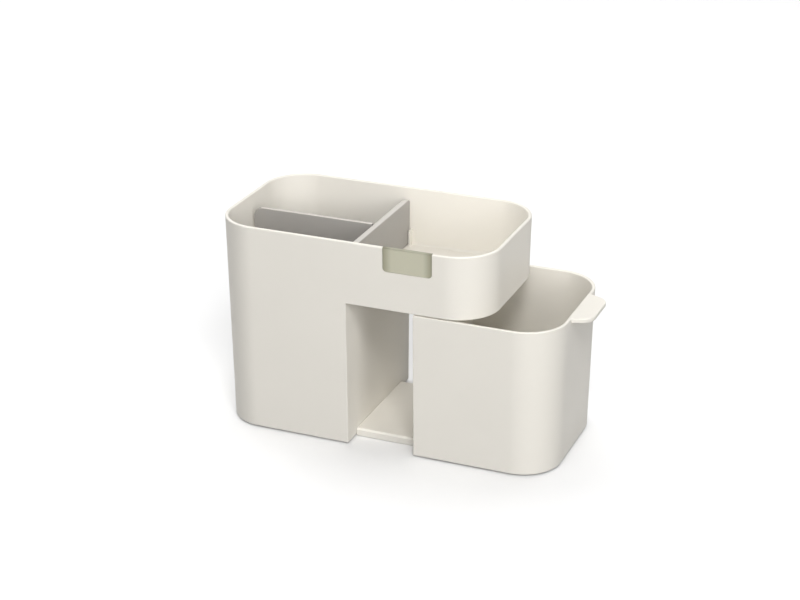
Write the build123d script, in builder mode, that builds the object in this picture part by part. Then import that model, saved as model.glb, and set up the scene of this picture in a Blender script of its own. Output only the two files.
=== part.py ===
"""Makeup organizer: a column and a tray moulded in one, over a drawer on a base plate.

Right is +X, back is +Y and up is +Z. The origin lies on the table, under the
middle of the housing. The drawer is drawn part of the way out.
"""

from build123d import *
from math import cos, radians, sin, tan
import os

os.makedirs("parts", exist_ok=True)

# Housing, in millimetres and degrees
body_length = 195.0  # left to right over the rim
body_depth = 113.8  # front to back over the rim
body_height = 148.1  # rim above the table
corner_radius = 29.8  # upright corners, at the rim
draft = 1.0  # the outer walls draw in towards the table
wall = 2.4
rim_round = 1.1  # outer edge of the rims
rim_bevel = 0.7  # inner edge of the rims
edge_round = 0.5
floor_bevel = 2.0  # where floors meet walls inside
skirt_gap = 1.2  # bottom edge of housing and drawer above the table
column_width = 97.6  # left end of the rim to the face of the drawer bay
column_floor_height = 11.8  # underside of the column's floor
bay_height = 104.4  # underside of the tray

# Base plate
plate_lift = 0.4  # underside above the table
plate_rise = 4.8  # top under the column
tongue_rise = 5.8  # top of the tongue that the drawer runs on
tongue_width = 80.6
neck_width = 76.0  # where the plate passes under the bay wall
plate_clearance = 0.4  # round the plate inside the skirt
neck_clearance = 0.3
tongue_gap = 0.2  # tongue's shoulder to the bay wall
tongue_end_clearance = 4.5  # to the end of the closed drawer, inside
tongue_corner = 12.0
tongue_edge_bevel = 1.2
lug_reach = 4.7  # stop lugs beyond the tongue's sides
lug_length = 6.0
lug_end_margin = 3.95  # lugs to the tongue's end
lug_round = 1.5
pocket_depth = 2.4
pocket_wall = 1.8
pocket_margin = 3.0

# Fixings and grip strips under the base
strip_width = 8.0
strip_length = 64.0
strip_sink = 0.8  # depth of the seat in the plate
strip_clearance = 0.15
strip_end_inset = 4.2  # plate's ends to the outer strips
screw_spacing = 76.0  # front screw to back screw
screw_radius = 1.4
screw_length = 7.0
screw_head_radius = 2.8
screw_head_height = 1.6
screw_slot_width = 0.9
screw_slot_depth = 0.8
screw_hole_clearance = 0.2
pilot_clearance = 0.05
pilot_depth = 6.5
boss_radius = 4.0
seat_gap = 0.1  # bosses above the plate

# Drawer
drawer_pull = 46.8  # how far it stands open
drawer_end_gap = 0.3  # to the bay wall when closed
drawer_top_gap = 0.8  # rim under the tray
drawer_floor = 2.4
runner_height = 0.7
runner_width = 3.0
runner_spacing = 60.0
running_gap = 0.3  # runners above the tongue
guide_gap = 0.4  # rails beside the lugs, and notch beside the tongue
rail_width = 1.8
rail_height = 4.0
tab_reach = 13.0
tab_root_margin = 4.45  # straight wall beside the tab's root
tab_taper = 5.65  # each side, root to tip
tab_corner = 6.0
tab_thickness = 3.0
tab_root_round = 0.8
tab_edge_round = 0.9

# Dividers
lengthwise_thickness = 2.6
transverse_thickness = 4.4
divider_drop = 8.1  # top edges below the rim
divider_lift = 0.3  # bottom edges above their seats
lengthwise_edge_bevel = 0.5
transverse_edge_bevel = 0.8
lengthwise_corner = 7.0
lengthwise_end_gap = 2.2  # to the left wall
lengthwise_front_gap = 1.0  # to the divider across
transverse_corner = 3.0
transverse_end_gap = 0.4
guide_rib = 1.6
lengthwise_rib_reach = 3.9
transverse_rib_reach = 2.5
guide_rib_height = 11.2  # above the tray's floor
guide_slot_clearance = 0.3

# Badge, a plain metal clip over the front rim
badge_centre = 43.65  # right of the middle
badge_width = 33.9
badge_drop = 16.6
badge_tail = 6.0  # inner leg
badge_corner = 2.4
badge_sheet = 0.6
badge_fit = 0.15

# Places worked out from the sizes
slope = tan(radians(draft))
bay_face = column_width - body_length / 2
bay_inner = bay_face - wall
tray_floor = bay_height + wall
column_floor = column_floor_height + wall
drawer_rim = bay_height - drawer_top_gap
drawer_left = bay_face + drawer_end_gap + drawer_pull
drawer_under = tongue_rise + running_gap + runner_height
drawer_floor_top = drawer_under + drawer_floor
divider_rise = body_height - divider_drop
guide_rib_rise = tray_floor + guide_rib_height
far = body_length + body_depth  # longer than any part of the housing


def half_length(height):
    """Half the housing's length at a height above the table."""
    return body_length / 2 - (body_height - height) * slope


def half_depth(height):
    """Half the housing's depth at a height above the table."""
    return body_depth / 2 - (body_height - height) * slope


def outline(height, inset, centre=0.0):
    """Draw the housing's rounded outline at a height, drawn in by an inset."""
    with Locations((centre, 0)):
        RectangleRounded(
            2 * (half_length(height) - inset),
            2 * (half_depth(height) - inset),
            corner_radius - (body_height - height) * slope - inset,
        )


def slot_ribs(thickness, centre_x, centre_y, along_x, along_y):
    """Draw two ribs that hold a divider between them, spread along one axis."""
    pitch = thickness + 2 * guide_slot_clearance + guide_rib
    if along_x:
        with Locations((centre_x, centre_y)):
            with GridLocations(0, pitch, 1, 2):
                Rectangle(along_x, guide_rib)
    else:
        with Locations((centre_x, centre_y)):
            with GridLocations(pitch, 0, 2, 1):
                Rectangle(guide_rib, along_y)


# Space inside the tray, down to its floor
with BuildPart() as tray_hollow:
    with BuildSketch(Plane.XY.offset(body_height)):
        outline(body_height, wall)
    extrude(amount=tray_floor - body_height, taper=draft)
    chamfer(tray_hollow.faces().sort_by(Axis.Z)[0].edges(), length=floor_bevel)

# Space inside the column, down to its floor
with BuildPart() as column_hollow:
    with BuildSketch(Plane.XY.offset(body_height)):
        outline(body_height, wall)
    extrude(amount=column_floor - body_height, taper=draft)
    split(bisect_by=Plane.YZ.offset(bay_inner), keep=Keep.BOTTOM)
    chamfer(column_hollow.faces().sort_by(Axis.Z)[0].edges(), length=floor_bevel)

# Both spaces in one, less the ribs that guide the dividers
transverse_middle = bay_face - wall / 2
rib_reach_x = half_length(column_floor) - wall - lengthwise_rib_reach
rib_reach_y = half_depth(column_floor) - wall - transverse_rib_reach
with BuildPart() as hollow:
    add(tray_hollow.part)
    add(column_hollow.part)
    with BuildSketch(Plane.XY.offset(column_floor - floor_bevel)):
        slot_ribs(lengthwise_thickness, -rib_reach_x - far / 2, 0, far, 0)
    extrude(amount=guide_rib_rise - column_floor + floor_bevel, mode=Mode.SUBTRACT)
    with BuildSketch(Plane.XY.offset(column_floor - floor_bevel)):
        slot_ribs(lengthwise_thickness, bay_inner - lengthwise_rib_reach + far / 2, 0, far, 0)
    extrude(amount=tray_floor - column_floor, mode=Mode.SUBTRACT)
    with BuildSketch(Plane.XY.offset(tray_floor - 2 * floor_bevel)):
        for side in (-1, 1):
            slot_ribs(transverse_thickness, transverse_middle, side * (rib_reach_y + far / 2), 0, far)
    extrude(amount=guide_rib_rise - tray_floor + 2 * floor_bevel, mode=Mode.SUBTRACT)

# Space under the column's floor, less the bosses that take the screws
column_middle = (bay_inner - half_length(skirt_gap) + wall) / 2
screw_places = [(column_middle, -screw_spacing / 2), (column_middle, screw_spacing / 2)]
with BuildPart() as column_under:
    with BuildSketch(Plane.XY.offset(column_floor_height)):
        outline(column_floor_height, wall)
    extrude(amount=skirt_gap - column_floor_height, taper=draft)
    split(bisect_by=Plane.YZ.offset(bay_inner), keep=Keep.BOTTOM)
    with BuildSketch(Plane.XY.offset(plate_rise + seat_gap)):
        with Locations(*screw_places):
            Circle(boss_radius)
    extrude(amount=far, mode=Mode.SUBTRACT)

# The badge lies along the front wall, which leans by the draft
front_wall = Plane(
    origin=(badge_centre, -body_depth / 2, body_height),
    x_dir=(1, 0, 0),
    z_dir=(0, -cos(radians(draft)), -sin(radians(draft))),
)

with BuildPart() as body_shell:
    with BuildSketch(Plane.XY.offset(body_height)):
        outline(body_height, 0)
    extrude(amount=skirt_gap - body_height, taper=draft)
    add(hollow.part, mode=Mode.SUBTRACT)
    add(column_under.part, mode=Mode.SUBTRACT)
    rim = body_shell.faces().sort_by(Axis.Z)[-1]
    fillet(rim.outer_wire().edges(), radius=rim_round)
    rim = body_shell.faces().sort_by(Axis.Z)[-1]
    chamfer(rim.inner_wires().edges(), length=rim_bevel)
    with BuildSketch(Plane.XY.offset(bay_height)):
        with Locations((bay_face + far / 2, 0)):
            Rectangle(far, far)
    extrude(amount=-far, mode=Mode.SUBTRACT)
    bay_wall = body_shell.faces().filter_by(Axis.X).sort_by_distance((bay_face, 0, bay_height / 2))[0]
    fillet(bay_wall.edges().filter_by(Axis.Z, tolerance=2 * draft), radius=edge_round)
    with BuildSketch(Plane.XY):
        with Locations((bay_inner + wall / 2, 0)):
            Rectangle(4 * wall, neck_width + 2 * neck_clearance)
    extrude(amount=plate_rise + neck_clearance, mode=Mode.SUBTRACT)
    with BuildSketch(Plane.XY.offset(plate_rise + seat_gap)):
        with Locations(*screw_places):
            Circle(screw_radius + pilot_clearance)
    extrude(amount=pilot_depth, mode=Mode.SUBTRACT)
    # Seat for the badge in the wall, and over the rim
    with BuildSketch(front_wall) as badge_seat:
        with Locations((0, -badge_drop / 2)):
            Rectangle(badge_width + 2 * badge_fit, badge_drop + 2 * badge_fit)
        low = badge_seat.vertices().group_by(Axis.Y)[0]
        fillet(low, radius=badge_corner + badge_fit)
    extrude(amount=-badge_sheet - badge_fit, mode=Mode.SUBTRACT)
    with BuildSketch(Plane.XY.offset(body_height)):
        with Locations((badge_centre, -body_depth / 2)):
            Rectangle(badge_width + 2 * badge_fit, 4 * wall)
    extrude(amount=-badge_sheet - badge_fit, mode=Mode.SUBTRACT)

body_shell.part.label = "body_shell"
export_step(body_shell.part, "parts/body_shell.step")

# Base plate: a slab inside the column's skirt, and the tongue that carries the drawer
plate_left = -half_length(skirt_gap) + wall + plate_clearance
plate_right = bay_inner - plate_clearance
tongue_left = bay_face + tongue_gap
tongue_right = half_length(skirt_gap) - wall - tongue_end_clearance
lug_middle = tongue_right - lug_end_margin - lug_length / 2
strip_places = {
    "left_grip_strip": plate_left + strip_end_inset + strip_width / 2,
    "middle_grip_strip": 0.0,
    "right_grip_strip": tongue_right - strip_end_inset - strip_width,
}
strip_edge = strip_width / 2 + pocket_margin

with BuildPart() as base_plate:
    with BuildSketch(Plane.XY.offset(plate_lift)):
        outline(skirt_gap, wall + plate_clearance)
        with Locations((plate_right + far / 2, 0)):
            Rectangle(far, far, mode=Mode.SUBTRACT)
        with Locations(((plate_right + tongue_left) / 2, 0)):
            Rectangle(tongue_left - plate_right + 2 * wall, neck_width)
    extrude(amount=plate_rise - plate_lift)
    with BuildSketch(Plane.XY.offset(plate_lift)) as tongue:
        with Locations(((tongue_left + tongue_right) / 2, 0)):
            Rectangle(tongue_right - tongue_left, tongue_width)
        fillet(tongue.vertices().group_by(Axis.X)[-1], radius=tongue_corner)
        with Locations((lug_middle, 0)):
            RectangleRounded(lug_length, tongue_width + 2 * lug_reach, lug_round)
    extrude(amount=tongue_rise - plate_lift)
    tongue_edges = base_plate.faces().sort_by(Axis.Z)[-1].edges()
    clear_edges = tongue_edges.filter_by(lambda edge: edge.center().X > tongue_left + tongue_edge_bevel)
    chamfer(clear_edges, length=tongue_edge_bevel)
    # Pockets that keep the moulding's walls even, open below
    for left, right, across in (
        (strip_places["left_grip_strip"], 0.0, screw_spacing - 4 * boss_radius),
        (0.0, strip_places["right_grip_strip"], tongue_width - 2 * pocket_margin),
    ):
        pitch_x = (right - left - 2 * strip_edge) / 3
        pitch_y = across / 4
        with BuildSketch(Plane.XY.offset(plate_lift)):
            with Locations(((left + right) / 2, 0)):
                with GridLocations(pitch_x, pitch_y, 3, 4):
                    Rectangle(pitch_x - pocket_wall, pitch_y - pocket_wall)
        extrude(amount=pocket_depth, mode=Mode.SUBTRACT)
    with BuildSketch(Plane.XY.offset(plate_lift)):
        for place in strip_places.values():
            with Locations((place, 0)):
                SlotOverall(
                    strip_length + 2 * strip_clearance, strip_width + 2 * strip_clearance, rotation=90
                )
    extrude(amount=strip_sink, mode=Mode.SUBTRACT)
    with Locations(Plane.XY.offset(plate_lift).rotated((180, 0, 0))):
        with Locations(*screw_places):
            CounterBoreHole(
                radius=screw_radius + screw_hole_clearance,
                counter_bore_radius=screw_head_radius + screw_hole_clearance,
                counter_bore_depth=screw_head_height + screw_hole_clearance,
                depth=plate_rise,
            )

base_plate.part.label = "base_plate"
export_step(base_plate.part, "parts/base_plate.step")

# Two screws through the plate into the column's bosses
head_seat = plate_lift + screw_head_height + screw_hole_clearance
with BuildPart() as base_screws:
    with BuildSketch(Plane.XY.offset(head_seat)):
        with Locations(*screw_places):
            Circle(screw_head_radius)
    extrude(amount=-screw_head_height)
    with BuildSketch(Plane.XY.offset(head_seat)):
        with Locations(*screw_places):
            Circle(screw_radius)
    extrude(amount=screw_length)
    with BuildSketch(Plane.XY.offset(head_seat - screw_head_height)):
        with Locations(*screw_places):
            Rectangle(screw_head_radius + screw_radius, screw_slot_width)
            Rectangle(screw_slot_width, screw_head_radius + screw_radius)
    extrude(amount=screw_slot_depth, mode=Mode.SUBTRACT)

base_screws.part.label = "base_screws"
export_step(base_screws.part, "parts/base_screws.step")

# Grip strips, glued into their seats, which the organizer stands on
for name, place in strip_places.items():
    with BuildPart() as grip_strip:
        with BuildSketch(Plane.XY):
            with Locations((place, 0)):
                SlotOverall(strip_length, strip_width, rotation=90)
        extrude(amount=plate_lift + strip_sink)
    grip_strip.part.label = name
    export_step(grip_strip.part, f"parts/{name}.step")

# Space inside the drawer
with BuildPart() as drawer_hollow:
    with BuildSketch(Plane.XY.offset(drawer_rim)):
        outline(drawer_rim, wall, drawer_pull)
    extrude(amount=drawer_floor_top - drawer_rim, taper=draft)
    split(bisect_by=Plane.YZ.offset(drawer_left + wall), keep=Keep.TOP)
    chamfer(drawer_hollow.faces().sort_by(Axis.Z)[0].edges(), length=floor_bevel)

# Space under its floor, less the runners and the rails that guide it along the tongue
rail_middle = tongue_width / 2 + lug_reach + guide_gap + rail_width / 2
with BuildPart() as drawer_underside:
    with BuildSketch(Plane.XY.offset(drawer_under)):
        outline(drawer_under, wall, drawer_pull)
    extrude(amount=skirt_gap - drawer_under, taper=draft)
    split(bisect_by=Plane.YZ.offset(drawer_left + wall), keep=Keep.TOP)
    with BuildSketch(Plane.XY.offset(drawer_under - runner_height)):
        with Locations((drawer_left, 0)):
            with GridLocations(0, runner_spacing, 1, 2):
                Rectangle(far, runner_width)
    extrude(amount=runner_height, mode=Mode.SUBTRACT)
    with BuildSketch(Plane.XY.offset(drawer_under - rail_height)):
        with Locations((drawer_left, 0)):
            with GridLocations(0, 2 * rail_middle, 1, 2):
                Rectangle(far, rail_width)
    extrude(amount=rail_height, mode=Mode.SUBTRACT)

drawer_end = half_length(drawer_rim) + drawer_pull
tab_root_half = body_depth / 2 - corner_radius - tab_root_margin
tab_tip_half = tab_root_half - tab_taper
with BuildPart() as drawer:
    with BuildSketch(Plane.XY.offset(drawer_rim)):
        outline(drawer_rim, 0, drawer_pull)
    extrude(amount=skirt_gap - drawer_rim, taper=draft)
    split(bisect_by=Plane.YZ.offset(drawer_left), keep=Keep.TOP)
    flat_end = drawer.faces().filter_by(Axis.X).sort_by(Axis.X)[0]
    fillet(flat_end.edges().filter_by(Axis.Z, tolerance=2 * draft), radius=edge_round)
    # Pull tab, level with the rim
    with BuildSketch(Plane.XY.offset(drawer_rim)) as tab:
        with BuildLine():
            Polyline(
                (drawer_end - wall / 2, -tab_root_half),
                (drawer_end + tab_reach, -tab_tip_half),
                (drawer_end + tab_reach, tab_tip_half),
                (drawer_end - wall / 2, tab_root_half),
                close=True,
            )
        make_face()
        fillet(tab.vertices().group_by(Axis.X)[-1], radius=tab_corner)
    extrude(amount=-tab_thickness)
    tab_roots = drawer.edges().filter_by(Axis.Z, tolerance=2 * draft).filter_by(
        lambda edge: edge.length < 2 * tab_thickness and edge.center().X < drawer_end + wall
    )
    fillet(tab_roots, radius=tab_root_round)
    add(drawer_hollow.part, mode=Mode.SUBTRACT)
    add(drawer_underside.part, mode=Mode.SUBTRACT)
    # Notch in the flat end, over the tongue
    with BuildSketch(Plane.XY):
        with Locations((drawer_left + wall / 2, 0)):
            Rectangle(2 * wall, tongue_width + 2 * guide_gap)
    extrude(amount=tongue_rise + running_gap, mode=Mode.SUBTRACT)
    rim = drawer.faces().sort_by(Axis.Z)[-1]
    fillet(rim.outer_wire().edges(), radius=tab_edge_round)
    rim = drawer.faces().sort_by(Axis.Z)[-1]
    chamfer(rim.inner_wires().edges(), length=rim_bevel)

drawer.part.label = "drawer"
export_step(drawer.part, "parts/drawer.step")

# Divider along the column, dropped between its guide ribs
lengthwise_left = -half_length(divider_rise) + wall + lengthwise_end_gap
lengthwise_low_left = -half_length(column_floor + divider_lift) + wall + lengthwise_end_gap
lengthwise_right = transverse_middle - transverse_thickness / 2 - lengthwise_front_gap
with BuildPart() as lengthwise_divider:
    with BuildSketch(Plane.XZ) as leaf:
        with BuildLine():
            Polyline(
                (lengthwise_low_left + floor_bevel, column_floor + divider_lift),
                (lengthwise_low_left, column_floor + divider_lift + floor_bevel),
                (lengthwise_left, divider_rise),
                (lengthwise_right, divider_rise),
                (lengthwise_right, column_floor + divider_lift + floor_bevel),
                (lengthwise_right - floor_bevel, column_floor + divider_lift),
                close=True,
            )
        make_face()
        top_left = leaf.vertices().sort_by_distance((lengthwise_left, divider_rise, 0))[0]
        fillet(top_left, radius=lengthwise_corner)
    extrude(amount=lengthwise_thickness / 2, both=True)
    leaf_edges = lengthwise_divider.faces().filter_by(Axis.Y).edges()
    top_edges = leaf_edges.filter_by(lambda edge: edge.center().Z > divider_rise - lengthwise_corner)
    chamfer(top_edges, length=lengthwise_edge_bevel)

lengthwise_divider.part.label = "lengthwise_divider"
export_step(lengthwise_divider.part, "parts/lengthwise_divider.step")

# Divider across, standing on the bay wall
transverse_low = tray_floor + divider_lift
transverse_half = half_depth(divider_rise) - wall - transverse_end_gap
transverse_low_half = half_depth(transverse_low) - wall - transverse_end_gap
with BuildPart() as transverse_divider:
    with BuildSketch(Plane.YZ.offset(transverse_middle)) as leaf:
        with BuildLine():
            Polyline(
                (-transverse_low_half + floor_bevel, transverse_low),
                (-transverse_low_half, transverse_low + floor_bevel),
                (-transverse_half, divider_rise),
                (transverse_half, divider_rise),
                (transverse_low_half, transverse_low + floor_bevel),
                (transverse_low_half - floor_bevel, transverse_low),
                close=True,
            )
        make_face()
        fillet(leaf.vertices().group_by(Axis.Y)[-1], radius=transverse_corner)
    extrude(amount=transverse_thickness / 2, both=True)
    leaf_edges = transverse_divider.faces().filter_by(Axis.X).edges()
    top_edges = leaf_edges.filter_by(lambda edge: edge.center().Z > divider_rise - transverse_corner)
    chamfer(top_edges, length=transverse_edge_bevel)

transverse_divider.part.label = "transverse_divider"
export_step(transverse_divider.part, "parts/transverse_divider.step")


def front_face(height, inset):
    """Return the place of the front wall at a height, drawn in by an inset."""
    return -half_depth(height) + inset, height


# Badge: a strip of sheet bent over the rim, its face level with the wall
badge_low = body_height - badge_drop
badge_tail_low = body_height - badge_tail
with BuildPart() as badge:
    with BuildSketch(Plane.YZ.offset(badge_centre)) as bend:
        with BuildLine():
            Polyline(
                front_face(badge_low, 0),
                front_face(body_height, 0),
                front_face(body_height, wall + badge_fit + badge_sheet),
                front_face(badge_tail_low, wall + badge_fit + badge_sheet),
                front_face(badge_tail_low, wall + badge_fit),
                front_face(body_height - badge_sheet, wall + badge_fit),
                front_face(body_height - badge_sheet, badge_sheet),
                front_face(badge_low, badge_sheet),
                close=True,
            )
        make_face()
        fillet(bend.vertices().group_by(Axis.Y)[-1], radius=rim_round)
    extrude(amount=badge_width / 2, both=True)
    low_corners = badge.edges().filter_by(Axis.Y, tolerance=2 * draft).group_by(Axis.Z)[0]
    fillet(low_corners, radius=badge_corner)

badge.part.label = "badge"
export_step(badge.part, "parts/badge.step")
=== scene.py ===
"""Makeup organizer with a drawer: its looks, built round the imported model."""
import bmesh
import bpy
from math import cos, radians, sin, tan
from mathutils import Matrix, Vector


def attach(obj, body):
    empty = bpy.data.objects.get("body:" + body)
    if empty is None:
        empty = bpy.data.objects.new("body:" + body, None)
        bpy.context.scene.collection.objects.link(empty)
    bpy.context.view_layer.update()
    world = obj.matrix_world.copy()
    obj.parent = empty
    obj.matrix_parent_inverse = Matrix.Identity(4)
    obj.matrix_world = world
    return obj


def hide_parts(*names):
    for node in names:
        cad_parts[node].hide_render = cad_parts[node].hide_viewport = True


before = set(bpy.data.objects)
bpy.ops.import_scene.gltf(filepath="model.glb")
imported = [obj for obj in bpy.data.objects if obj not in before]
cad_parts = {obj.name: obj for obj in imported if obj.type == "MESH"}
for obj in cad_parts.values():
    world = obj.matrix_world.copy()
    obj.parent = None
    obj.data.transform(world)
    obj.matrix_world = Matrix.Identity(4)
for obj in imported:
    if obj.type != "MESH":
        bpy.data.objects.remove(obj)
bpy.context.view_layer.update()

# Camera: a long lens, looking down on the front right of the organizer. Places are
# in metres, the lens and its sensor in millimetres.
camera_place = Vector((0.4581, -1.0774, 0.5860))
camera_aim = Vector((0.015569, 0.0, 0.087208))
camera_lens = 83.9
camera_sensor = 36.0
view_depth = 50.0
camera_turn = (camera_aim - camera_place).to_track_quat("-Z", "Y").to_euler()
bpy.ops.object.camera_add(location=camera_place, rotation=camera_turn)
camera = bpy.context.object
camera.data.sensor_width = camera_sensor
camera.data.lens = camera_lens
camera.data.clip_end = view_depth
bpy.context.scene.camera = camera
bpy.context.scene.view_settings.view_transform = "Standard"


# Studio light: a soft key from the front right, two wide panels low in front, one
# low on each side, two behind, one over the floor at the back, and a dim pale room.
# A light's turn is from the front to the right and its height from the floor, both
# in degrees; its distance and size are in metres and its power in watts.
def soft_light(name, aim, turn, height, distance, size, power):
    """Hang a square area light that points at a place."""
    level = distance * cos(radians(height))
    rise = distance * sin(radians(height))
    reach = Vector((level * sin(radians(turn)), -level * cos(radians(turn)), rise))
    tilt = reach.to_track_quat("Z", "Y").to_euler()
    bpy.ops.object.light_add(type="AREA", location=aim + reach, rotation=tilt)
    light = bpy.context.object
    light.name = name
    light.data.shape = "SQUARE"
    light.data.size = size
    light.data.energy = power


middle_place = Vector((0.03, 0, 0.07))
floor_place = Vector((0.3, 1.1, 0))
room_strength = 0.155
soft_light("key_light", middle_place, 27, 47, 1.5, 0.4, 9.6)
soft_light("front_right_light", middle_place, 25, 17, 3.0, 1.6, 21.0)
soft_light("front_left_light", middle_place, -8, 25, 3.0, 1.6, 15.0)
soft_light("right_light", middle_place, 60, 15, 5.0, 1.9, 72.0)
soft_light("left_light", middle_place, -110, 25, 3.0, 2.4, 41.0)
soft_light("back_light", middle_place, 180, 68, 3.0, 2.4, 34.0)
soft_light("back_left_light", middle_place, 210, 40, 3.0, 2.4, 9.5)
soft_light("floor_light", floor_place, 0, 89, 1.0, 0.9, 2.2)
room = bpy.data.worlds.new("studio_room")
bpy.context.scene.world = room
room.use_nodes = True
room.node_tree.nodes["Background"].inputs["Color"].default_value = (1, 1, 1, 1)
room.node_tree.nodes["Background"].inputs["Strength"].default_value = room_strength

# Floor: a plain pale sheet of matt paper, wide enough to fill the view. It throws
# no light back up at the organizer, so the walls keep their shading to the bottom.
floor_width = 30.0
bpy.ops.mesh.primitive_plane_add(size=floor_width)
floor = bpy.context.object
floor.name = "floor"
floor.visible_diffuse = False


def linear(hex_colour):
    """Turn an sRGB hex colour into the linear one that a socket takes."""
    parts = [value / 255 for value in bytes.fromhex(hex_colour)]
    return [part / 12.92 if part < 0.04 else ((part + 0.055) / 1.055) ** 2.4 for part in parts] + [1]


floor_paper = bpy.data.materials.new("white_paper_floor")
floor_paper.use_nodes = True
paper_surface = floor_paper.node_tree.nodes["Principled BSDF"].inputs
paper_surface["Base Color"].default_value = linear("f8f8f8")
paper_surface["Roughness"].default_value = 0.9
floor.data.materials.append(floor_paper)

# Body shell: column and tray in one. It is injection moulded in warm white ABS,
# with walls that lean outwards and a rounded rim. Sizes are in millimetres, and
# the finished mesh is turned to metres.
mm = 0.001
body_length, body_depth, body_height = 195.0, 113.8, 148.1
corner_radius = 29.8
slope = tan(radians(1.0))
wall = 2.4
skirt_bottom = 1.2
bay_face = 0.1
bay_inner = bay_face - wall
bay_top = 104.4
tray_floor = bay_top + wall
column_floor = 14.2
column_under = column_floor - wall
rim_outer, rim_inner = 1.1, 0.9
floor_round = 2.2
edge_round = 0.5
skirt_round = 0.3
below_all = -5.0
seam_weld, fine_weld = 0.001, 0.0005
smooth_angle = 35


def add_node(material, kind, inputs=None, **settings):
    """Add a node, set its properties, and set or link its inputs by name or number."""
    tree = material.node_tree
    node = tree.nodes.new(kind)
    for name, value in settings.items():
        setattr(node, name, value)
    for name, value in (inputs or {}).items():
        if isinstance(value, bpy.types.NodeSocket):
            tree.links.new(value, node.inputs[name])
        else:
            node.inputs[name].default_value = value
    return node


# Warm white ABS, moulded in a spark-eroded tool. Broad faint clouds, where the
# plastic flowed, keep the large walls from looking flat, and the tool's grain
# breaks up the sheen so that it reads as matt. The real grain is 0.15 mm, too
# fine to show from here, so it is drawn 1.4 mm coarse and very shallow.
flow_clouds = 45.0
tool_grain = 1.4
grain_height = 0.012

warm_white_abs = bpy.data.materials.new("moulded_warm_white_abs")
warm_white_abs.use_nodes = True
abs_surface = warm_white_abs.node_tree.nodes["Principled BSDF"].inputs
abs_place = add_node(warm_white_abs, "ShaderNodeTexCoord").outputs["Object"]
abs_flow = add_node(warm_white_abs, "ShaderNodeTexNoise", {
    "Vector": abs_place, "Scale": 1 / (mm * flow_clouds), "Detail": 2.0})
abs_tint = add_node(warm_white_abs, "ShaderNodeMix", {
    0: abs_flow.outputs[0], 6: linear("e7e3da"), 7: linear("ebe7de")}, data_type="RGBA")
abs_grain = add_node(warm_white_abs, "ShaderNodeTexNoise", {
    "Vector": abs_place, "Scale": 1 / (mm * tool_grain), "Detail": 1.0})
abs_sheen = add_node(warm_white_abs, "ShaderNodeMapRange", {
    "Value": abs_grain.outputs[0], "To Min": 0.44, "To Max": 0.56})
abs_bump = add_node(warm_white_abs, "ShaderNodeBump", {
    "Height": abs_grain.outputs[0], "Distance": mm * grain_height})
warm_white_abs.node_tree.links.new(abs_tint.outputs[2], abs_surface["Base Color"])
warm_white_abs.node_tree.links.new(abs_sheen.outputs[0], abs_surface["Roughness"])
warm_white_abs.node_tree.links.new(abs_bump.outputs[0], abs_surface["Normal"])


def half_depth(height):
    """Half the housing's depth at a height."""
    return body_depth / 2 - (body_height - height) * slope


def half_length(height):
    """Half the housing's length at a height."""
    return body_length / 2 - (body_height - height) * slope


def depth_inside(point):
    """How far inside the housing's outline a point lies, at its own height."""
    radius = corner_radius - (body_height - point.z) * slope
    past_x = abs(point.x) - half_length(point.z) + radius
    past_y = abs(point.y) - half_depth(point.z) + radius
    if past_x > 0 and past_y > 0:
        return radius - (past_x ** 2 + past_y ** 2) ** 0.5
    return radius - max(past_x, past_y)


def near(value, wanted, margin=0.02):
    """Whether a value is the wanted one, give or take a hair."""
    return abs(value - wanted) < margin


def mostly(share):
    """Whether a direction's share along an axis makes it run along that axis."""
    return abs(share) > 0.9


def pick(kind, test):
    """In edit mode, select only the elements whose middle and direction pass a test.
    A face's or a vertex's direction is its normal."""
    bpy.ops.mesh.select_mode(type=kind)
    bpy.ops.mesh.select_all(action="DESELECT")
    data = bpy.context.edit_object.data
    mesh = bmesh.from_edit_mesh(data)
    mesh.normal_update()
    for element in {"VERT": mesh.verts, "EDGE": mesh.edges, "FACE": mesh.faces}[kind]:
        if kind == "VERT":
            middle, way = element.co, element.normal
        elif kind == "EDGE":
            start, end = element.verts[0].co, element.verts[1].co
            middle, way = (start + end) / 2, (end - start).normalized()
        else:
            middle, way = element.calc_center_bounds(), element.normal
        if test(middle, way):
            element.select_set(True)
    mesh.select_flush_mode()
    bmesh.update_edit_mesh(data)


def start_outline(name, height, shift=0.0):
    """Start a piece from the housing's rounded outline, as a flat face at a height."""
    bpy.ops.object.select_all(action="DESELECT")
    bpy.ops.mesh.primitive_plane_add(size=2)
    piece = bpy.context.object
    piece.name = name
    bpy.ops.object.mode_set(mode="EDIT")
    bpy.ops.mesh.select_all(action="SELECT")
    bpy.ops.transform.resize(value=(half_length(height), half_depth(height), 1))
    bpy.ops.transform.translate(value=(shift, 0, height))
    radius = corner_radius - (body_height - height) * slope
    bpy.ops.mesh.bevel(offset=radius, segments=24, affect="VERTICES")
    return piece


def sink_face(top, bottom):
    """Sink the selected face from one height to another, drawn in by the draft."""
    bpy.ops.mesh.inset(thickness=(top - bottom) * slope, depth=bottom - top)


def round_edges(radius, segments=4):
    """Round the selected edges."""
    bpy.ops.mesh.bevel(offset=radius, segments=segments, affect="EDGES", clamp_overlap=False)


def start_block(name, low, high):
    """Start a piece, or a tool that cuts one, as a block between two corners."""
    bpy.ops.object.mode_set(mode="OBJECT")
    bpy.ops.object.select_all(action="DESELECT")
    bpy.ops.mesh.primitive_cube_add(size=1)
    block = bpy.context.object
    block.name = name
    bpy.ops.object.mode_set(mode="EDIT")
    bpy.ops.mesh.select_all(action="SELECT")
    bpy.ops.transform.resize(value=[high[axis] - low[axis] for axis in range(3)])
    bpy.ops.transform.translate(value=[(high[axis] + low[axis]) / 2 for axis in range(3)])
    return block


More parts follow.
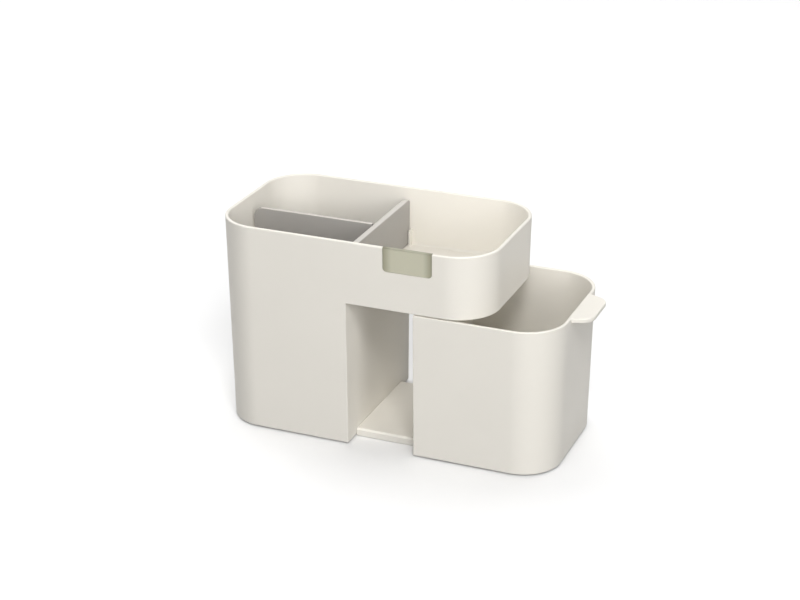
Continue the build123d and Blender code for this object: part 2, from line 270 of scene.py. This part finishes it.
def combine(piece, tool, operation):
    """Cut a tool from a piece, or weld it on, and put the tool away."""
    bpy.ops.object.mode_set(mode="OBJECT")
    bpy.ops.object.select_all(action="DESELECT")
    piece.select_set(True)
    bpy.context.view_layer.objects.active = piece
    join = piece.modifiers.new("combine", "BOOLEAN")
    join.operation = operation
    join.object = tool
    join.solver = "EXACT"
    bpy.ops.object.modifier_apply(modifier=join.name)
    bpy.data.objects.remove(tool)
    bpy.ops.object.mode_set(mode="EDIT")


def finish_piece(piece, material, body, node):
    """Turn a piece's mesh to metres, smooth its rounded faces and hang it on its body,
    with its material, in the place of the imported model's node."""
    bpy.ops.mesh.select_all(action="SELECT")
    bpy.ops.mesh.remove_doubles(threshold=fine_weld)
    bpy.ops.mesh.normals_make_consistent(inside=False)
    bpy.ops.object.mode_set(mode="OBJECT")
    piece.scale = (mm, mm, mm)
    bpy.ops.object.transform_apply(location=True, rotation=True, scale=True)
    bpy.ops.object.shade_smooth_by_angle(angle=radians(smooth_angle))
    even_out = piece.modifiers.new("even_normals", "WEIGHTED_NORMAL")
    even_out.keep_sharp = True
    bpy.ops.object.modifier_apply(modifier=even_out.name)
    piece.data.materials.clear()
    piece.data.materials.append(material)
    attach(piece, body)
    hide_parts(node)


shell = start_outline("housing_shell", body_height)
# Outside, down to the tray's underside, and on down round the column
bpy.ops.mesh.duplicate()
sink_face(body_height, bay_top)
bpy.ops.mesh.bisect(plane_co=(bay_face, 0, 0), plane_no=(1, 0, 0))
pick("FACE", lambda middle, way: near(middle.z, bay_top) and middle.x < bay_face)
sink_face(bay_top, skirt_bottom)
lean = (bay_top - skirt_bottom) * slope
pick("VERT", lambda middle, way: near(middle.z, skirt_bottom) and middle.x > bay_face - lean - 0.5)
bpy.ops.transform.translate(value=(lean, 0, 0))
# The skirt under the column's floor
pick("FACE", lambda middle, way: near(middle.z, skirt_bottom))
bpy.ops.mesh.inset(thickness=wall)
bpy.ops.mesh.inset(thickness=0, depth=column_under - skirt_bottom)
# Inside: the rim, the tray down to its floor, and the column's well beside it
pick("FACE", lambda middle, way: near(middle.z, body_height))
bpy.ops.mesh.inset(thickness=wall)
sink_face(body_height, tray_floor)
bpy.ops.mesh.bisect(plane_co=(bay_inner, 0, 0), plane_no=(1, 0, 0))
pick("FACE", lambda middle, way: near(middle.z, tray_floor) and middle.x < bay_inner)
sink_face(tray_floor, column_floor)
lean = (tray_floor - column_floor) * slope
pick("VERT", lambda middle, way: near(middle.z, column_floor) and middle.x > bay_inner - lean - 0.5)
bpy.ops.transform.translate(value=(lean, 0, 0))
bpy.ops.mesh.select_all(action="SELECT")
bpy.ops.mesh.remove_doubles(threshold=seam_weld)
bpy.ops.mesh.normals_make_consistent(inside=False)
# The walls run straight past the levels of the tray
pick("EDGE", lambda middle, way: near(way.z, 0) and (
    near(middle.z, bay_top) and near(depth_inside(middle), 0) and middle.x < bay_face
    or near(middle.z, tray_floor) and near(depth_inside(middle), wall) and middle.x < bay_inner))
bpy.ops.mesh.dissolve_edges(use_verts=True)
# Rounded edges: the rim, the floors, and the edges that the bay and the skirt end in
pick("EDGE", lambda middle, way: near(middle.z, body_height) and near(depth_inside(middle), 0))
round_edges(rim_outer, 5)
pick("EDGE", lambda middle, way: near(middle.z, body_height) and near(depth_inside(middle), wall))
round_edges(rim_inner, 5)
pick("EDGE", lambda middle, way: near(middle.z, tray_floor) and near(depth_inside(middle), wall, 0.1))
round_edges(floor_round, 5)
pick("EDGE", lambda middle, way: near(middle.z, column_floor) and (
    depth_inside(middle) < wall + 0.1 or near(middle.x, bay_inner)))
round_edges(floor_round, 5)
pick("EDGE", lambda middle, way: (
    near(middle.z, bay_top) and near(depth_inside(middle), 0) and middle.x > bay_face
    or near(middle.x, bay_face) and near(depth_inside(middle), 0, 0.1) and mostly(way.z)
    or near(middle.z, skirt_bottom) and (near(depth_inside(middle), 0) or near(middle.x, bay_face))))
round_edges(edge_round, 3)
pick("EDGE", lambda middle, way: near(middle.z, skirt_bottom) and (
    near(depth_inside(middle), wall) or near(middle.x, bay_inner)))
round_edges(skirt_round, 2)
# The notch that the base plate's neck passes through
neck_half, neck_top = 38.3, 5.1
notch = start_block(
    "notch_tool", (bay_inner - wall, -neck_half, below_all), (bay_face + wall, neck_half, neck_top))
combine(shell, notch, "DIFFERENCE")
# Ribs that the dividers drop between. A pair leaves a slot as wide as its divider
# with a clearance on both sides. A rib is rooted in a wall and in the floor below
# it, except that two of the transverse divider's hang down into the column's well.
lengthwise_half, transverse_half = 1.3, 2.2
transverse_middle = bay_face - wall / 2
slot_clearance = 0.3
rib_width, rib_round, rib_top = 1.6, 0.3, 118.0
lengthwise_reach, transverse_reach = 3.9, 2.5
end_root, side_root = 94.9, 55.0
rib_sink, rib_hang, well_rib_drop = 1.0, 3.0, 0.6
well_rib_top = tray_floor - well_rib_drop
end_ribs = half_length(column_floor) - wall - lengthwise_reach
side_ribs = half_depth(column_floor) - wall - transverse_reach
ribs = []
for side in (-1, 1):
    slot_side = side * (lengthwise_half + slot_clearance)
    front, back = sorted((slot_side, slot_side + side * rib_width))
    ribs.append(((-end_root, front, column_floor - rib_sink), (-end_ribs, back, rib_top)))
    ribs.append(((bay_inner - lengthwise_reach, front, column_floor - rib_sink),
                 (bay_inner + rib_sink, back, well_rib_top)))
    front, back = sorted((side * side_ribs, side * side_root))
    slot_side = transverse_middle - transverse_half - slot_clearance
    ribs.append(((slot_side - rib_width, front, tray_floor - rib_hang), (slot_side, back, rib_top)))
    slot_side = transverse_middle + transverse_half + slot_clearance
    ribs.append(((slot_side, front, tray_floor - rib_sink), (slot_side + rib_width, back, rib_top)))
for low, high in ribs:
    rib = start_block("rib", low, high)
    round_edges(rib_round, 2)
    combine(shell, rib, "UNION")
# The seat that the badge lies in, level with the wall and the rim: a block that
# leans with the wall, and one that lies along the rim
badge_middle, badge_width, badge_drop = 43.65, 33.9, 16.6
badge_sheet, badge_corner, badge_fit = 0.6, 2.4, 0.15
badge_low = body_height - badge_drop
seat_left = badge_middle - badge_width / 2 - badge_fit
seat_right = badge_middle + badge_width / 2 + badge_fit
seat_depth = badge_sheet + badge_fit
seat_front, seat_back, seat_top = -60.0, -52.0, body_height + 2
seat = start_block("seat_tool", (seat_left, seat_front, badge_low - badge_fit),
                   (seat_right, seat_depth - half_depth(badge_low), seat_top))
pick("EDGE", lambda middle, way: near(middle.z, seat_top) and middle.y > seat_front + 1 and mostly(way.x))
bpy.ops.transform.translate(value=(0, (badge_low - seat_top) * slope, 0))
pick("EDGE", lambda middle, way: middle.z < badge_low and near(way.x, 0))
round_edges(badge_corner + badge_fit, 6)
combine(shell, seat, "DIFFERENCE")
seat = start_block("seat_tool", (seat_left, seat_front, body_height - seat_depth),
                   (seat_right, seat_back, seat_top))
combine(shell, seat, "DIFFERENCE")
finish_piece(shell, warm_white_abs, "housing", "body_shell")

# Drawer: a half-length box of the same warm white ABS, flat at its left end, with
# a pull tab moulded on level with its rim. It slides on the tongue of the base
# plate, and stands drawn out by 46.8 mm.
drawer_pull = 46.8
drawer_end_gap, drawer_top_gap = 0.3, 0.8
drawer_left = bay_face + drawer_end_gap + drawer_pull
drawer_rim = bay_top - drawer_top_gap
drawer_end = drawer_pull + half_length(drawer_rim)
drawer_under = 6.8
drawer_floor = drawer_under + wall
drawer_edge_round = 0.7
tab_thickness = 3.0
tab_under = drawer_rim - tab_thickness
tab_reach, tab_root, tab_tip = 13.0, 22.17, 17.0
tab_corner, tab_root_round, tab_edge_round = 6.0, 0.8, 0.4


def drawer_depth(point):
    """How far inside the drawer's outline a point lies, its flat end left out."""
    return depth_inside(point - Vector((drawer_pull, 0, 0)))


drawer = start_outline("drawer_box", drawer_rim, drawer_pull)
bpy.ops.mesh.bisect(plane_co=(drawer_left, 0, 0), plane_no=(1, 0, 0), clear_inner=True)
# Outside, with a level for the tab, and the skirt under its floor
bpy.ops.mesh.select_all(action="SELECT")
bpy.ops.mesh.duplicate()
for top, bottom in ((drawer_rim, tab_under), (tab_under, skirt_bottom)):
    sink_face(top, bottom)
    lean = (top - bottom) * slope
    pick("VERT", lambda middle, way: near(middle.z, bottom) and middle.x < drawer_left + lean + 0.01)
    bpy.ops.transform.translate(value=(-lean, 0, 0))
    pick("FACE", lambda middle, way: near(middle.z, bottom))
bpy.ops.mesh.inset(thickness=wall)
bpy.ops.mesh.inset(thickness=0, depth=drawer_under - skirt_bottom)
# Inside
pick("FACE", lambda middle, way: near(middle.z, drawer_rim))
bpy.ops.mesh.inset(thickness=wall)
sink_face(drawer_rim, drawer_floor)
lean = (drawer_rim - drawer_floor) * slope
pick("VERT", lambda middle, way: near(middle.z, drawer_floor) and middle.x < drawer_left + wall + lean + 0.01)
bpy.ops.transform.translate(value=(-lean, 0, 0))
bpy.ops.mesh.select_all(action="SELECT")
bpy.ops.mesh.remove_doubles(threshold=seam_weld)
bpy.ops.mesh.normals_make_consistent(inside=False)
# The pull tab, drawn out of the right wall, narrower towards its rounded tip
for side in (-1, 1):
    pick("FACE", lambda middle, way: (
        middle.z > tab_under and middle.x > drawer_end - 1 and near(way.x, 1)))
    bpy.ops.mesh.bisect(plane_co=(0, side * tab_root, 0), plane_no=(0, 1, 0))
pick("FACE", lambda middle, way: (
    middle.z > tab_under and middle.x > drawer_end - 1 and near(way.x, 1) and abs(middle.y) < 1))
bpy.ops.mesh.extrude_region_move(TRANSFORM_OT_translate={"value": (tab_reach, 0, 0)})
bpy.ops.transform.resize(value=(1, tab_tip / tab_root, 1))
pick("EDGE", lambda middle, way: (
    near(middle.z, drawer_rim) and near(middle.x, drawer_end) and abs(middle.y) < tab_root - 1))
bpy.ops.mesh.dissolve_edges(use_verts=False)
pick("EDGE", lambda middle, way: mostly(way.z) and middle.x > drawer_end + tab_reach - 1)
round_edges(tab_corner, 12)
pick("EDGE", lambda middle, way: mostly(way.z) and middle.z > tab_under and (
    near(abs(middle.y), tab_root, 0.1) and near(middle.x, drawer_end, 0.2)))
round_edges(tab_root_round, 4)
pick("EDGE", lambda middle, way: near(middle.z, tab_under) and drawer_depth(middle) < -0.1)
round_edges(tab_edge_round, 3)
# Rounded edges: the rim and the tab's top, the flat end, the floor and the skirt
pick("EDGE", lambda middle, way: (
    near(middle.z, drawer_rim) and (drawer_depth(middle) < 0.1 or near(middle.x, drawer_left))
    or mostly(way.z) and near(middle.x, drawer_left) and near(drawer_depth(middle), 0, 0.1)
    or near(middle.z, skirt_bottom) and (near(drawer_depth(middle), 0) or near(middle.x, drawer_left))))
round_edges(drawer_edge_round, 4)
pick("EDGE", lambda middle, way: near(middle.z, drawer_rim) and (
    near(drawer_depth(middle), wall) or near(middle.x, drawer_left + wall)))
round_edges(rim_inner, 5)
pick("EDGE", lambda middle, way: near(middle.z, drawer_floor))
round_edges(floor_round, 5)
pick("EDGE", lambda middle, way: near(middle.z, skirt_bottom) and (
    near(drawer_depth(middle), wall) or near(middle.x, drawer_left + wall)))
round_edges(skirt_round, 2)
# The notch that the tongue passes through. Under the floor, two runners pass just
# over the tongue and two deeper rails beside it. Each is given by its place from the
# middle, half its width and its underside.
tongue_notch_half, tongue_notch_top = 40.7, 6.1
runner = (30.0, 1.5, 6.1)
rail = (46.3, 0.9, 2.8)
rail_end = 128.0
notch = start_block("notch_tool", (drawer_left - wall, -tongue_notch_half, below_all),
                    (drawer_left + 1.5 * wall, tongue_notch_half, tongue_notch_top))
combine(drawer, notch, "DIFFERENCE")
for place, half, low in (runner, rail):
    for side in (1, -1):
        strip = start_block("rail", (drawer_left + 0.5 * wall, side * place - half, low),
                            (rail_end, side * place + half, drawer_under + rib_sink))
        combine(drawer, strip, "UNION")
finish_piece(drawer, warm_white_abs, "drawer", "drawer")

# Lengthwise divider: a thin leaf along the column, moulded in warm grey ABS with
# one rounded top corner. It is dropped between the ribs at the column's two ends.
divider_drop, divider_lift = 8.1, 0.3
divider_top = body_height - divider_drop
leaf_low = column_floor + divider_lift
leaf_left_gap, leaf_right_gap = 2.2, 1.0
leaf_left = wall + leaf_left_gap - half_length(divider_top)
leaf_right = transverse_middle - transverse_half - leaf_right_gap
leaf_edge_round = 0.5
leaf_corner, leaf_low_corner = 7.0, 2.2

# Warm grey ABS from a smoother tool: the same faint flow clouds, a satin sheen,
# and a finer, shallower grain, again drawn coarser than the real 0.1 mm. Its top
# edge is painted paler from half a millimetre down: a painted highlight where the
# top edge catches the light.
satin_grain = 1.1
satin_height = 0.006
highlight_start, highlight_full = 0.5, 0.1

warm_grey_abs = bpy.data.materials.new("moulded_warm_grey_abs")
warm_grey_abs.use_nodes = True
grey_surface = warm_grey_abs.node_tree.nodes["Principled BSDF"].inputs
grey_place = add_node(warm_grey_abs, "ShaderNodeTexCoord").outputs["Object"]
grey_flow = add_node(warm_grey_abs, "ShaderNodeTexNoise", {
    "Vector": grey_place, "Scale": 1 / (mm * flow_clouds), "Detail": 2.0})
grey_tint = add_node(warm_grey_abs, "ShaderNodeMix", {
    0: grey_flow.outputs[0], 6: linear("9d9a96"), 7: linear("a3a09c")}, data_type="RGBA")
grey_axes = add_node(warm_grey_abs, "ShaderNodeSeparateXYZ", {"Vector": grey_place})
# Painted highlight: the top half millimetre of each leaf is painted paler, as if lit from above
painted_highlight_edge = add_node(warm_grey_abs, "ShaderNodeMapRange", {
    "Value": grey_axes.outputs["Z"],
    "From Min": mm * (divider_top - highlight_start), "From Max": mm * (divider_top - highlight_full)})
grey_and_painted_highlight = add_node(warm_grey_abs, "ShaderNodeMix", {
    0: painted_highlight_edge.outputs[0], 6: grey_tint.outputs[2], 7: linear("cac5be")}, data_type="RGBA")
grey_grain = add_node(warm_grey_abs, "ShaderNodeTexNoise", {
    "Vector": grey_place, "Scale": 1 / (mm * satin_grain), "Detail": 1.0})
grey_sheen = add_node(warm_grey_abs, "ShaderNodeMapRange", {
    "Value": grey_grain.outputs[0], "To Min": 0.36, "To Max": 0.46})
grey_bump = add_node(warm_grey_abs, "ShaderNodeBump", {
    "Height": grey_grain.outputs[0], "Distance": mm * satin_height})
warm_grey_abs.node_tree.links.new(grey_and_painted_highlight.outputs[2], grey_surface["Base Color"])
warm_grey_abs.node_tree.links.new(grey_sheen.outputs[0], grey_surface["Roughness"])
warm_grey_abs.node_tree.links.new(grey_bump.outputs[0], grey_surface["Normal"])

leaf = start_block("lengthwise_leaf", (leaf_left, -lengthwise_half, leaf_low),
                   (leaf_right, lengthwise_half, divider_top))
# Its left end leans with the wall
pick("EDGE", lambda middle, way: near(middle.z, leaf_low) and near(middle.x, leaf_left) and mostly(way.y))
bpy.ops.transform.translate(value=((divider_top - leaf_low) * slope, 0, 0))
pick("EDGE", lambda middle, way: near(middle.z, leaf_low) and mostly(way.y))
round_edges(leaf_low_corner, 4)
pick("EDGE", lambda middle, way: near(middle.z, divider_top) and near(middle.x, leaf_left) and mostly(way.y))
round_edges(leaf_corner, 12)
pick("EDGE", lambda middle, way: near(abs(middle.y), lengthwise_half))
round_edges(leaf_edge_round, 3)
finish_piece(leaf, warm_grey_abs, "lengthwise_divider", "lengthwise_divider")

# Transverse divider: a thicker leaf of the same grey ABS, across the housing. It
# stands over the bay's wall, and both its ends lean with the housing's walls.
cross_low = tray_floor + divider_lift
cross_left = transverse_middle - transverse_half
cross_right = transverse_middle + transverse_half
cross_end_gap = 0.4
cross_half = half_depth(divider_top) - wall - cross_end_gap
cross_low_half = half_depth(cross_low) - wall - cross_end_gap
cross_edge_round = 0.9
cross_corner, cross_low_corner = 3.0, 2.2
leaf = start_block("transverse_leaf", (cross_left, -cross_half, cross_low),
                   (cross_right, cross_half, divider_top))
pick("FACE", lambda middle, way: near(middle.z, cross_low))
bpy.ops.transform.resize(value=(1, cross_low_half / cross_half, 1))
pick("EDGE", lambda middle, way: near(middle.z, cross_low) and mostly(way.x))
round_edges(cross_low_corner, 4)
pick("EDGE", lambda middle, way: near(middle.z, divider_top) and mostly(way.x))
round_edges(cross_corner, 10)
pick("EDGE", lambda middle, way: near(middle.x, cross_left) or near(middle.x, cross_right))
round_edges(cross_edge_round, 3)
finish_piece(leaf, warm_grey_abs, "transverse_divider", "transverse_divider")

# Badge: a clip of 0.6 mm aluminium sheet, bent over the front rim and level in its
# seat, with a tail inside. Its face is bare.
tail_drop = 6.0
clip_inside = wall + badge_fit + badge_sheet
deburr, deburr_angle = 0.12, 60

# Aluminium, satin anodised and dyed pale sage. The face is painted darker towards
# the sheet's two sides: painted shade standing in for the reflections that darken a
# satin badge's borders. The rolled sheet's lines run across it, drawn coarser than
# life at 1 mm by 0.3 mm.
shade_border = 6.0
roll_line = (1.0, 1.0, 0.3)
line_height = 0.002

anodised = bpy.data.materials.new("satin_anodised_aluminium")
anodised.use_nodes = True
anodised_surface = anodised.node_tree.nodes["Principled BSDF"].inputs
anodised_surface["Metallic"].default_value = 1.0
badge_place = add_node(anodised, "ShaderNodeTexCoord").outputs["Object"]
badge_axes = add_node(anodised, "ShaderNodeSeparateXYZ", {"Vector": badge_place})
from_middle = add_node(anodised, "ShaderNodeMath", {
    0: badge_axes.outputs["X"], 1: mm * badge_middle}, operation="SUBTRACT")
aside = add_node(anodised, "ShaderNodeMath", {0: from_middle.outputs[0]}, operation="ABSOLUTE")
# Painted shade: the face's colour darkens over its outer 6 mm towards both sides
painted_side_shade = add_node(anodised, "ShaderNodeMapRange", {
    "Value": aside.outputs[0],
    "From Min": mm * (badge_width / 2 - shade_border), "From Max": mm * badge_width / 2})
sage_and_painted_shade = add_node(anodised, "ShaderNodeMix", {
    0: painted_side_shade.outputs[0], 6: linear("b7b5a3"), 7: linear("908e7b")}, data_type="RGBA")
lines_place = add_node(anodised, "ShaderNodeMapping", {
    "Vector": badge_place, "Scale": [1 / (mm * size) for size in roll_line]})
roll_lines = add_node(anodised, "ShaderNodeTexNoise", {
    "Vector": lines_place.outputs[0], "Scale": 1.0, "Detail": 2.0})
satin = add_node(anodised, "ShaderNodeMapRange", {
    "Value": roll_lines.outputs[0], "To Min": 0.38, "To Max": 0.5})
satin_bump = add_node(anodised, "ShaderNodeBump", {
    "Height": roll_lines.outputs[0], "Distance": mm * line_height})
anodised.node_tree.links.new(sage_and_painted_shade.outputs[2], anodised_surface["Base Color"])
anodised.node_tree.links.new(satin.outputs[0], anodised_surface["Roughness"])
anodised.node_tree.links.new(satin_bump.outputs[0], anodised_surface["Normal"])

bpy.ops.object.select_all(action="DESELECT")
bpy.ops.mesh.primitive_plane_add(size=1)
clip = bpy.context.object
clip.name = "badge_clip"
bpy.ops.object.mode_set(mode="EDIT")
bpy.ops.mesh.select_all(action="SELECT")
bpy.ops.transform.resize(value=(badge_width, clip_inside, 1))
bpy.ops.transform.translate(value=(badge_middle, (clip_inside - body_depth) / 2, body_height))
# Down the front, and down inside, leaning with the wall
pick("EDGE", lambda middle, way: near(middle.y, -body_depth / 2))
bpy.ops.mesh.extrude_region_move(TRANSFORM_OT_translate={"value": (0, badge_drop * slope, -badge_drop)})
pick("EDGE", lambda middle, way: near(middle.y, clip_inside - body_depth / 2))
bpy.ops.mesh.extrude_region_move(TRANSFORM_OT_translate={"value": (0, tail_drop * slope, -tail_drop)})
pick("VERT", lambda middle, way: middle.z < badge_low + 0.1)
bpy.ops.mesh.bevel(offset=badge_corner, segments=8, affect="VERTICES")
pick("EDGE", lambda middle, way: near(middle.z, body_height) and mostly(way.x))
round_edges(rim_outer, 6)
bpy.ops.mesh.select_all(action="SELECT")
bpy.ops.mesh.normals_make_consistent(inside=False)
bpy.ops.object.mode_set(mode="OBJECT")
thicken = clip.modifiers.new("sheet", "SOLIDIFY")
thicken.thickness = badge_sheet
thicken.offset = -1
bpy.ops.object.modifier_apply(modifier=thicken.name)
soften = clip.modifiers.new("deburr", "BEVEL")
soften.width = deburr
soften.segments = 2
soften.angle_limit = radians(deburr_angle)
bpy.ops.object.modifier_apply(modifier=soften.name)
bpy.ops.object.mode_set(mode="EDIT")
finish_piece(clip, anodised, "housing", "badge")

# Base plate: the slab under the column and the tongue that the drawer runs on,
# moulded in the same warm white ABS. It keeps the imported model's own shape.
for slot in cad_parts["base_plate"].material_slots:
    slot.material = warm_white_abs

# Screws: two zinc plated pan heads, up through the plate into the bosses. The
# plating is mottled at about 0.8 mm between bluish and pale, dull and bright.
plating_mottle = 0.8

zinc = bpy.data.materials.new("zinc_plated_steel")
zinc.use_nodes = True
zinc_surface = zinc.node_tree.nodes["Principled BSDF"].inputs
zinc_surface["Metallic"].default_value = 1.0
zinc_place = add_node(zinc, "ShaderNodeTexCoord").outputs["Object"]
spangle = add_node(zinc, "ShaderNodeTexNoise", {
    "Vector": zinc_place, "Scale": 1 / (mm * plating_mottle), "Detail": 3.0})
plated = add_node(zinc, "ShaderNodeMix", {
    0: spangle.outputs[0], 6: linear("b4b6b8"), 7: linear("d0d0cc")}, data_type="RGBA")
plated_sheen = add_node(zinc, "ShaderNodeMapRange", {
    "Value": spangle.outputs[0], "To Min": 0.22, "To Max": 0.4})
zinc.node_tree.links.new(plated.outputs[2], zinc_surface["Base Color"])
zinc.node_tree.links.new(plated_sheen.outputs[0], zinc_surface["Roughness"])
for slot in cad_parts["base_screws"].material_slots:
    slot.material = zinc

# Grip strips: thin silicone rubber, glued into seats in the plate's underside. It
# is matt and a little cloudy, with a soft dusty bloom at 2 mm.
bloom = 2.0
bloom_height = 0.02

silicone = bpy.data.materials.new("pale_silicone_rubber")
silicone.use_nodes = True
silicone_surface = silicone.node_tree.nodes["Principled BSDF"].inputs
silicone_place = add_node(silicone, "ShaderNodeTexCoord").outputs["Object"]
dust = add_node(silicone, "ShaderNodeTexNoise", {
    "Vector": silicone_place, "Scale": 1 / (mm * bloom), "Detail": 3.0})
dusted = add_node(silicone, "ShaderNodeMix", {
    0: dust.outputs[0], 6: linear("c3c1ba"), 7: linear("cfcdc6")}, data_type="RGBA")
dusted_sheen = add_node(silicone, "ShaderNodeMapRange", {
    "Value": dust.outputs[0], "To Min": 0.62, "To Max": 0.8})
dust_bump = add_node(silicone, "ShaderNodeBump", {
    "Height": dust.outputs[0], "Distance": mm * bloom_height})
silicone.node_tree.links.new(dusted.outputs[2], silicone_surface["Base Color"])
silicone.node_tree.links.new(dusted_sheen.outputs[0], silicone_surface["Roughness"])
silicone.node_tree.links.new(dust_bump.outputs[0], silicone_surface["Normal"])
for name in ("left_grip_strip", "middle_grip_strip", "right_grip_strip"):
    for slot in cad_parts[name].material_slots:
        slot.material = silicone
